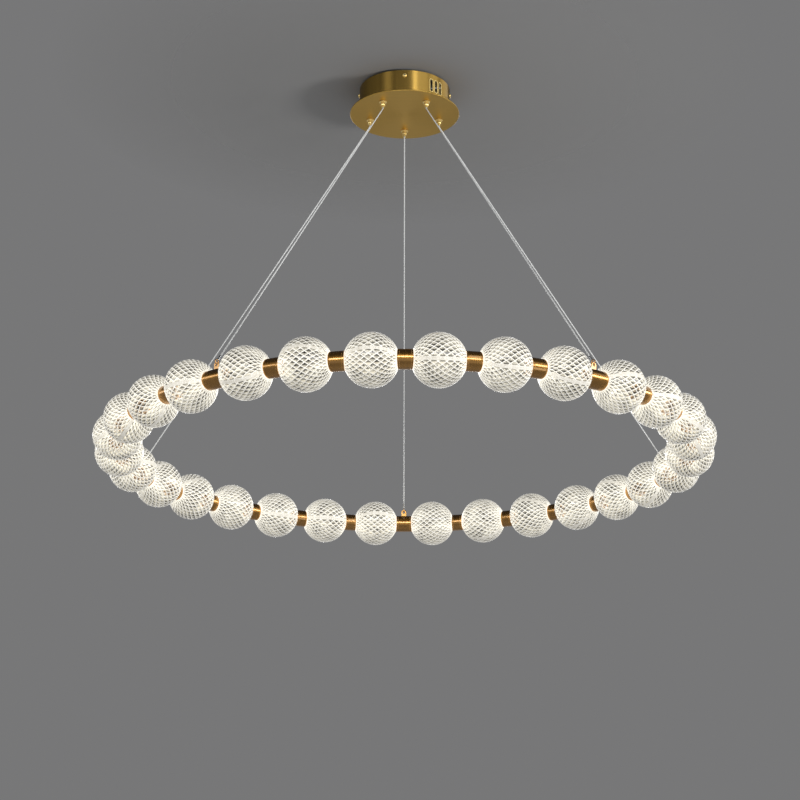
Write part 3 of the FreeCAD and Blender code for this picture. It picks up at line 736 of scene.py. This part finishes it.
def make_drum():
    drum, cutters, rims = Shape(), Shape(), Shape()
    drum.lathe(DRUM_PROFILE, CANOPY_SIDES)
    for angle in VENT_ANGLES:
        cutters.take(slot_cutter(angle, VENT_WIDTH, VENT_LENGTH, VENT_Z))
        rims.take(vent_rim(angle))
    for angle in SCREW_TURNS:
        # a round hole is a slot with no straight part, but for a hair that keeps its ends apart
        cutters.take(slot_cutter(angle, SCREW_HOLE, SCREW_HOLE + HAIR, SCREW_Z))
    wall = drum.mesh("drum", [DRUM_BRASS, SHADE_BLACK])
    wall = smoothed(with_modifiers(wall, cut_by(cutters), rounding(0.3)))
    wall = with_modifiers(wall, ("WEIGHTED_NORMAL", {"weight": 100, "keep_sharp": True}))
    # faces on the drum's inside take the near-black painted shade
    for face in wall.polygons:
        face.material_index = int(math.hypot(*face.center.xy) < (DRUM_INNER_R + SKIN) * MM)
    show("round_drum", wall, "canopy", ["canopy_drum"])
    show("vent_rims", rims.mesh("vent_rims", [VENT_EDGE_HIGHLIGHT]), "canopy")


def around_pentagon(shape):
    """Five copies on the gripper circle."""
    whole = Shape()
    for number in range(5):
        whole.take(shape.moved(fifth(number) @ Matrix.Translation((0, GRIPPER_R, 0))))
    return whole


def make_disc():
    disc = Shape()
    disc.lathe(DISC_PROFILE, CANOPY_SIDES)
    circle = [(DISC_HOLE_R * math.cos(a), DISC_HOLE_R * math.sin(a)) for a in angles_round(DISC_HOLE_SIDES)]
    hole = Shape().prism([[(x, y, z) for x, y in circle] for z in DISC_HOLE_ENDS])
    plate = with_modifiers(disc.mesh("disc", [DISC_BRASS]), cut_by(around_pentagon(hole)))
    show("round_disc", smoothed(plate), "canopy", ["canopy_disc"])


SCREW_SIDES = 40
SCREW_PROFILE = (
    (0.4, 2.4), (1.3, 2.3), (2.3, 1.95), (3.0, 1.35), (3.4, 0.7), (3.5, 0.2), (3.5, 0.0), (2.0, 0.0),
    (2.0, -5.0), (1.6, -6.5),
)
CROSS_REACH, CROSS_HALF, CROSS_TURN = 1.8, 0.55, 20
CROSS_FLOOR, CROSS_BRIM, CROSS_CUT_TOP = 1.4, 2.1, 4.0


def screw_mesh():
    """Pan-head screw with a cross recess; its axis is Z and its seat at zero."""
    head = Shape()
    head.lathe(SCREW_PROFILE, SCREW_SIDES, whole=False)
    head.cap(0, SCREW_SIDES)
    head.cap(SCREW_SIDES * (len(SCREW_PROFILE) - 1), SCREW_SIDES)
    tip = [Vector((CROSS_REACH, -CROSS_HALF, 0)), Vector((CROSS_REACH, CROSS_HALF, 0))]
    arm = [*tip, Vector((CROSS_HALF, CROSS_HALF, 0))]
    outline = [turn_z(angle) @ corner for angle in (0, 90, 180, 270) for corner in arm]
    cross = Shape().prism([[(p.x, p.y, z) for p in outline] for z in (CROSS_FLOOR, CROSS_CUT_TOP)])
    cut = cut_by(cross.moved(turn_z(CROSS_TURN)))
    made = with_modifiers(head.mesh("screw", [TURNED_HIGHLIGHT_BRASS, SHADE_BLACK]), cut, rounding(0.1, angle=50))
    # the cross recess takes the near-black painted shade
    for face in smoothed(made).polygons:
        in_cross = math.hypot(*face.center.xy) < (CROSS_REACH + 0.1) * MM
        at_depth = (CROSS_FLOOR - 0.1) * MM < face.center.z < CROSS_BRIM * MM
        face.material_index = int(in_cross and at_depth)
    return made


def make_side_screws():
    mesh = screw_mesh()
    seat = Matrix.Translation((DRUM_R * MM, 0, SCREW_Z * MM)) @ Matrix.Rotation(math.pi / 2, 4, "Y")
    for number, turn in enumerate(SCREW_TURNS, start=1):
        name = f"side_screw_{number}"
        show(name, mesh, "canopy", ["canopy_side_screws"], turn_z(turn) @ seat)


# ---------------------------------------------------------------- cable grippers

BARREL_PROFILE = (
    (1.1, -30.0), (3.5, -30.0), (4.0, -30.6), (4.0, -46.0), (6.2, -46.0), (6.5, -46.3), (6.5, -47.3),
    (6.1, -47.8), (5.2, -48.0), (4.2, -48.0), (4.0, -48.3), (4.0, -48.8), (4.2, -49.1), (4.2, -52.9),
    (3.9, -53.7), (3.5, -54.0), (3.0, -54.0), (3.0, -47.5), (1.1, -47.0),
)
PLUNGER_PROFILE = (
    (1.6, -50.0), (2.7, -50.0), (2.7, -55.0), (2.55, -55.2), (2.55, -55.6), (2.7, -55.8), (2.7, -56.4),
    (2.3, -57.0), (1.9, -57.0), (1.6, -56.6),
)
BARREL_SIDES, PLUNGER_SIDES, NUT_SIDES = 40, 36, 48
NUT_BORE, NUT_CORNER, NUT_CHAMFER = 4.05, 7.5, 7.2
# largest radius and height; where a radius is over the corners' the hexagon is whole
NUT_ROWS = (
    (NUT_BORE, -44), (NUT_CHAMFER, -44), (8.0, -43.4), (8.0, -39.6), (NUT_CHAMFER, -39), (NUT_BORE, -39),
)


def nut_shape():
    """Hexagon nut with its corners chamfered at both faces."""
    side = math.pi / 3
    rows = []
    for radius, z in NUT_ROWS:
        row = []
        for a in angles_round(NUT_SIDES):
            flat = NUT_CORNER * math.cos(side / 2) / math.cos((a + side / 2) % side - side / 2)
            r = min(radius, flat)
            row.append((r * math.cos(a), r * math.sin(a), z))
        rows.append(row)
    nut = Shape()
    nut.loop(rows)
    return nut


def make_grippers():
    barrel, plunger = Shape(), Shape()
    barrel.lathe(BARREL_PROFILE, BARREL_SIDES)
    mesh = around_pentagon(barrel).mesh("gripper_barrels_turned", [TURNED_HIGHLIGHT_BRASS], smooth_angle=30)
    show("turned_gripper_barrels", mesh, "canopy", ["gripper_barrels"])
    mesh = around_pentagon(nut_shape()).mesh("nuts", [ZINC], smooth_angle=25)
    show("hexagon_nuts", mesh, "canopy", ["gripper_nuts"])
    plunger.lathe(PLUNGER_PROFILE, PLUNGER_SIDES)
    mesh = plunger.mesh("plunger", [TURNED_HIGHLIGHT_BRASS], smooth_angle=30)
    for number in range(5):
        where = fifth(number) @ Matrix.Translation((0, GRIPPER_R * MM, 0))
        node = f"gripper_plunger_{number + 1}"
        show(f"turned_{node}", mesh, f"plunger_{number + 1}", [node], where)


# ---------------------------------------------------------------- cables and eye terminals

LINK_R, LINK_Z = 461.275, -620.49
LINK_MEAN_R, WIRE_ACROSS, WIRE_ALONG = 3.65, 0.65, 0.7
LINK_SIDES, WIRE_SIDES, FERRULE_SIDES = 40, 12, 24
CABLE_R, RUN_SIDES, TAIL_SIDES = 1.0, 16, 12
CABLE_TOP_Z, STEM_MIDDLE_Z = -26.0, -40.0
FERRULE_REACH, MOUTH_DEPTH = 13.0, 0.4
FERRULE_PROFILE = (
    (1.0, 3.4), (1.5, 3.4), (1.8, 3.8), (1.8, 5.4), (1.5, 5.9), (1.5, 6.5), (1.8, 7.0), (1.8, 8.6),
    (1.5, 9.1), (1.5, 9.7), (1.8, 10.2), (1.8, 12.4), (1.6, FERRULE_REACH), (1.4, FERRULE_REACH),
    (1.4, 12.0), (1.0, 11.8),
)


def cable_axis():
    """Unit vector from the link's centre to the bend, in the plane (radius, height)."""
    run = Vector((GRIPPER_R - LINK_R, BEND_Z - LINK_Z))
    return run.normalized()


def tube_along(points, sides):
    """Cable through points of the YZ plane, its rows mitred at each point."""
    rows = []
    for n, point in enumerate(points):
        before = (point - points[n - 1]).normalized() if n else (points[1] - point).normalized()
        after = (points[n + 1] - point).normalized() if n + 1 < len(points) else before
        along = (before + after).normalized()
        across = Vector((along.y, -along.x)) / max(0.5, along.dot(before))
        row = []
        for a in angles_round(sides):
            place = point + across * (CABLE_R * math.cos(a))
            row.append((CABLE_R * math.sin(a), place.x, place.y))
        rows.append(row)
    return Shape().prism(rows)


def make_cables():
    axis = cable_axis()
    end = Vector((LINK_R, LINK_Z)) + axis * (FERRULE_REACH - MOUTH_DEPTH)
    bend = Vector((GRIPPER_R, BEND_Z))
    top, middle = (Vector((GRIPPER_R, z)) for z in (CABLE_TOP_Z, STEM_MIDDLE_Z))
    run, tail = tube_along([bend, end], RUN_SIDES), tube_along([top, middle, bend], TAIL_SIDES)
    for number in range(5):
        node = f"suspension_cable_{number + 1}"
        turn = fifth(number)
        mesh = run.moved(turn).mesh(f"cable_run_{number + 1}", [CABLE], smooth_angle=60)
        piece = show(f"cable_run_{number + 1}", mesh, "canopy", [node])
        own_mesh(piece)
        mesh = tail.moved(turn).mesh(f"cable_tail_{number + 1}", [CABLE], smooth_angle=60)
        show(f"cable_tail_{number + 1}", mesh, "canopy", [node])


def terminal_shape():
    """Round wire link through the eye, with a crimped ferrule along the cable."""
    link, ferrule = Shape(), Shape()
    rows = []
    for a in angles_round(LINK_SIDES):
        row = []
        for b in angles_round(WIRE_SIDES):
            r = LINK_MEAN_R + WIRE_ACROSS * math.cos(b)
            row.append((WIRE_ALONG * math.sin(b), r * math.cos(a), r * math.sin(a)))
        rows.append(row)
    link.loop(rows)
    ferrule.lathe(FERRULE_PROFILE, FERRULE_SIDES, slot=1)
    axis = cable_axis()
    lean = Matrix.Rotation(math.atan2(-axis.x, axis.y), 4, "X")
    return link.take(ferrule.moved(lean)).moved(Matrix.Translation((0, LINK_R, LINK_Z)))


def make_terminals():
    shape, whole = terminal_shape(), Shape()
    for number in range(5):
        whole.take(shape.moved(fifth(number)))
    mesh = whole.mesh("eye_terminals", [SPACER_BRASS, ZINC], smooth_angle=40)
    show("eye_terminals", mesh, "ring", ["cable_terminals"])


# ---------------------------------------------------------------- pieces inside the canopy and the ring


def flatten(work):
    bmesh.ops.dissolve_limit(work, angle_limit=math.radians(1), verts=work.verts, edges=work.edges)


def painted(mesh, material):
    mesh.materials.clear()
    mesh.materials.append(material)


def dressed(node, material, width):
    """A canopy node's own mesh with rounded edges."""
    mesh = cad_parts[node].data.copy()
    reworked(mesh, 1e-6, flatten)
    painted(mesh, material)
    mesh = with_modifiers(mesh, rounding(width))
    show(f"rounded_{node}", smoothed(mesh), "canopy", [node])


def make_inner_pieces():
    """The canopy's inside and the core; the core's nodes are painted and otherwise shown as they are."""
    dressed("mounting_bracket", ZINC, 0.35)
    dressed("driver_case", WHITE_PLASTIC, 0.8)
    dressed("driver_end_covers", GREY_PLASTIC, 0.8)
    dressed("terminal_block", TERMINAL_WHITE, 0.4)
    for node in ("core_bar_right", "core_bar_left"):
        painted(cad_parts[node].data, ALUMINIUM)
    painted(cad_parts["core_joiners"].data, ZINC)
    painted(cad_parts["light_strips"].data, STRIP_GLOW)


# ---------------------------------------------------------------- studio

BACKDROP = (0.185, 0.185, 0.187, 1)
SKY_LIGHT, SKY_STRENGTH = (0.95, 0.97, 1.0, 1), 0.55
PATCH_SIDES = 96
FLOOR_RADII, FLOOR_Z = (10, 600, 1200, 1800, 2400), -2100
FLOOR_TONES = (0.52, 0.52, 0.52), (0.56, 0.56, 0.56)
CEILING_RADII, CEILING_Z = (1, 80, 160, 320, 620), 3.5
CEILING_TONE = (0.215, 0.212, 0.208, 1)
CEILING_FADE_R = 0.6
CARD_HALF, CARD_Z = 9000, 3200
# name, place, height of the aim on the axis, width and height, watts
LAMPS = (
    ("front_strip", (0, -4.2, 0.16), -0.6, (4.4, 0.65), 60),
    ("front_low", (0, -3.6, -2.1), -0.6, (4.0, 1.6), 3),
    ("high_left", (-2.87, -3.08, 2.05), -0.1, (1.3, 1.2), 1.3),
    ("high_right", (3.0, -2.9, 2.05), -0.1, (2.4, 1.2), 4.2),
    ("tall_strip", (1.75, -3.6, 1.9), -0.1, (0.6, 2.0), 6),
    ("right_panel", (3.9, -0.6, 1.9), -0.1, (2.0, 1.6), 4),
    ("right_back", (3.5, 2.4, 2.1), -0.1, (3.0, 1.2), 5),
    ("back_strip", (0, 4.4, 0.45), -0.6, (4.0, 0.6), 30),
    ("back_low", (0, 3.4, -1.9), -0.2, (4.0, 1.2), 2),
    ("right_strip", (4.0, -1.4, 0.45), -0.6, (5.0, 0.7), 75),
    ("left_strip", (-4.0, -1.4, 0.45), -0.6, (5.0, 0.7), 24),
    ("low_right", (2.4, -2.6, -1.9), -0.1, (1.2, 1.2), 5),
    ("back_low_right", (3.6, 2.6, -1.9), -0.1, (1.6, 1.2), 4),
    ("back_low_left", (-3.6, 2.6, -1.9), -0.1, (1.6, 1.2), 2.5),
    ("key", (2.8, -1.6, -1.5), -0.2, (0.7, 0.7), 70),
)
ONLY_REFLECTED = ("right_strip", "left_strip")
NOT_REFLECTED = ("key",)


def make_world():
    """Soft sky light; what the camera, reflections and clear acrylic see of it is the grey backdrop."""
    world = bpy.data.worlds.new("studio")
    bpy.context.scene.world = world
    w = Nodes(world)
    w.tree.nodes.clear()
    path = w.add("ShaderNodeLightPath").outputs
    seen = w.maths("ADD", path["Is Camera Ray"], path["Is Glossy Ray"])
    seen = w.maths("ADD", seen, path["Is Transmission Ray"], use_clamp=True)
    light = w.add("ShaderNodeBackground", Color=SKY_LIGHT, Strength=SKY_STRENGTH)
    backdrop = w.add("ShaderNodeBackground", Color=BACKDROP)
    mix, out = w.add("ShaderNodeMixShader"), w.add("ShaderNodeOutputWorld")
    w.join(seen, mix.inputs["Fac"])
    w.join(light.outputs[0], mix.inputs[1])
    w.join(backdrop.outputs[0], mix.inputs[2])
    w.join(mix.outputs[0], out.inputs["Surface"])


def add_lamp(name, place, aim_height, size, watts):
    """Rectangular softbox, hidden from the camera, also through clear acrylic."""
    data = bpy.data.lights.new(name, "AREA")
    data.shape, data.energy = "RECTANGLE", watts
    data.size, data.size_y = size
    lamp = new_object(name, data)
    lamp.location = place
    lamp.rotation_mode = "QUATERNION"
    lamp.rotation_quaternion = (Vector((0, 0, aim_height)) - Vector(place)).to_track_quat("-Z", "Y")
    lamp.visible_camera = lamp.visible_transmission = False
    lamp.visible_glossy = name not in NOT_REFLECTED
    lamp.visible_diffuse = name not in ONLY_REFLECTED


def round_patch(name, radii, height, material):
    patch = Shape()
    patch.lathe([(radius, height) for radius in radii], PATCH_SIDES, whole=False)
    patch.cap(0, PATCH_SIDES)
    return new_object(name, patch.mesh(name, [material]))


def make_floor():
    """Pale floor far below, which fades out into the backdrop."""
    m = surface("pale_floor").set(Roughness=0.9)
    dark, light = FLOOR_TONES
    m.shade(Base_Color=m.ramp(m.noise(6, detail=3.0), (0.3, dark), (0.7, light)))
    m.shade(Alpha=m.fade_out(FLOOR_RADII[-1] * MM, share=0.5))
    round_patch("floor", FLOOR_RADII, FLOOR_Z, m.owner)


def make_ceiling():
    """The patch of ceiling round the canopy, seen only by the camera and only from below."""
    m = surface("ceiling_patch").set(Roughness=0.95, Specular_IOR_Level=0.0, Base_Color=CEILING_TONE)
    path, side = m.add("ShaderNodeLightPath"), m.add("ShaderNodeNewGeometry")
    seen = m.maths("SUBTRACT", path.outputs["Is Camera Ray"], side.outputs["Backfacing"], use_clamp=True)
    m.shade(Alpha=m.maths("MULTIPLY", seen, m.fade_out(CEILING_FADE_R, share=0.55)))
    piece = round_patch("ceiling", CEILING_RADII, CEILING_Z, m.owner)
    if piece.data.polygons[0].normal.z > 0:
        piece.data.flip_normals()


def make_dark_card():
    """Large dark card overhead, seen only in reflections, as a flag in the photographer's studio."""
    m = surface("dark_card").set(Roughness=1.0, Specular_IOR_Level=0.0, Emission_Strength=0.03)
    m.set(Base_Color=(0.01, 0.01, 0.01, 1), Emission_Color=(1, 1, 1, 1))
    card = Shape()
    corners = ((-1, -1), (1, -1), (1, 1), (-1, 1))
    card.rings([[(x * CARD_HALF, y * CARD_HALF, CARD_Z) for x, y in corners]])
    card.cap(0, 4)
    piece = new_object("dark_card", card.mesh("dark_card", [m.unsampled()]))
    piece.visible_camera = piece.visible_diffuse = False
    piece.visible_transmission = piece.visible_shadow = False


def make_studio():
    make_world()
    make_floor()
    make_ceiling()
    make_dark_card()
    for lamp in LAMPS:
        add_lamp(*lamp)


make_balls()
make_spacers()
make_drum()
make_disc()
make_side_screws()
make_grippers()
make_cables()
make_terminals()
make_inner_pieces()
make_studio()

bpy.context.scene.view_settings.view_transform = "Standard"
